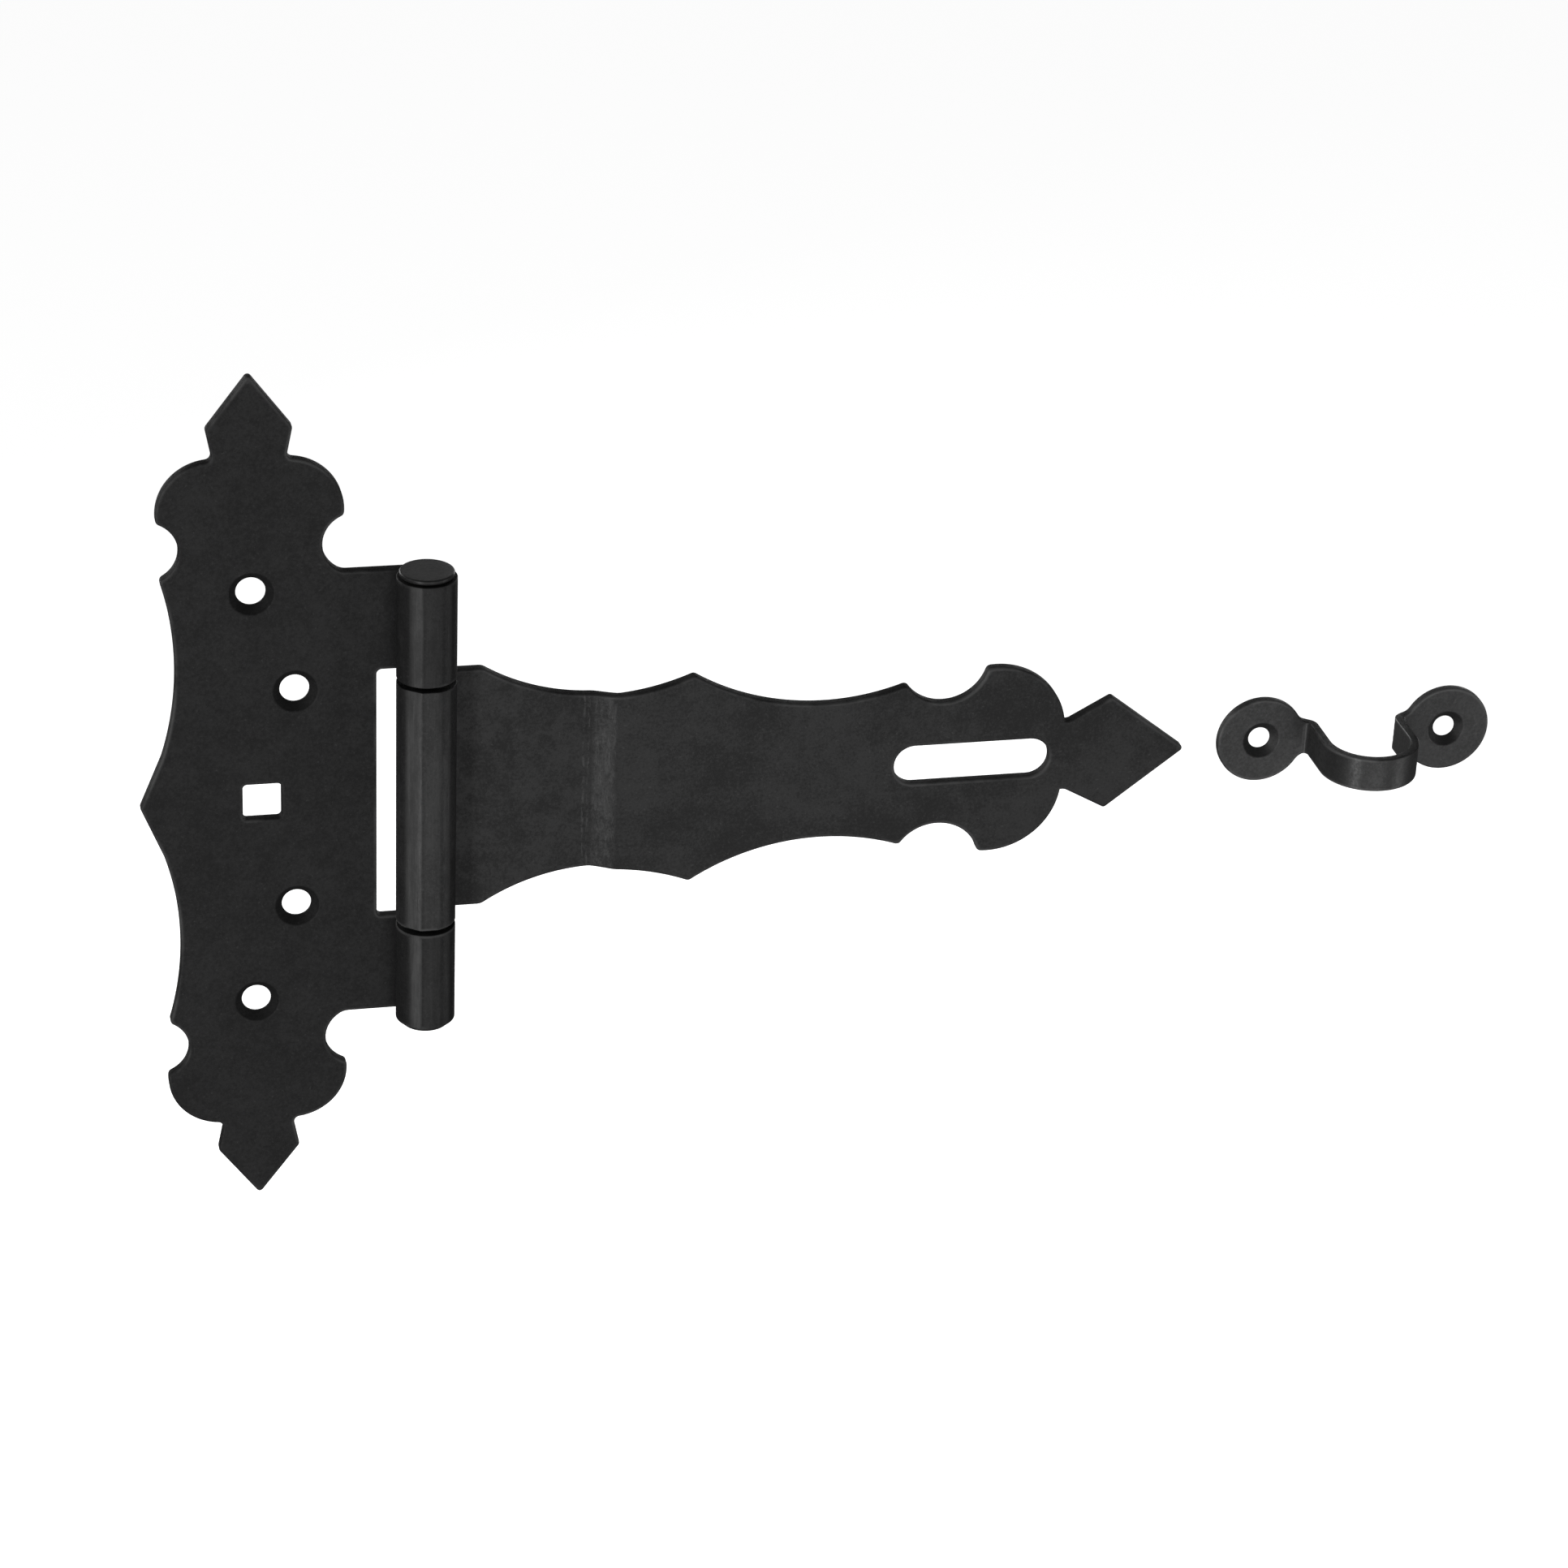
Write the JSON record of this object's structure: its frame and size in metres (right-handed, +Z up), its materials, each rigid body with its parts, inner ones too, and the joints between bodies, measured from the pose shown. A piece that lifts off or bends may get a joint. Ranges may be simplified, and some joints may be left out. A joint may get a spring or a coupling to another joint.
{
  "type": "hinged hasp and staple",
  "caption": "Ornamental black steel hasp: a finial-shaped hinge plate, a scalloped strap with a long slot that swings on a riveted pin, and a separate U-shaped staple for a padlock.",
  "frame": {"origin": "on the mounting surface, straight behind the hinge pin, at mid height of the hasp", "axes": "+Z up along the hinge pin; +X from the pin along the closed strap to its tip; +Y into the surface that the hasp is screwed to, so the front faces -Y"},
  "size_m": [0.2634, 0.0196, 0.1692],
  "materials": {
    "plate_coating": "satin black coating, lightly worn at the edges",
    "strap_coating": "satin black coating, brushed and scuffed at the bends",
    "pin_coating": "satin black coating",
    "staple_coating": "satin black coating, smoother than the hasp"
  },
  "bodies": {
    "plate": {"hinge_plate": "plate_coating", "hinge_pin": "pin_coating"},
    "strap": {"hasp_strap": "strap_coating"},
    "staple": {"staple": "staple_coating"}
  },
  "joints": [
    {"name": "strap_hinge", "type": "hinge", "parent": "plate", "child": "strap", "pos_m": [0, -0.0056, 0], "axis": [0, 0, -1], "range_deg": [0, 180]},
    {"name": "staple_lift", "type": "slide", "parent": "plate", "child": "staple", "axis": [0, -1, 0], "range_m": [0, 0.04]}
  ]
}
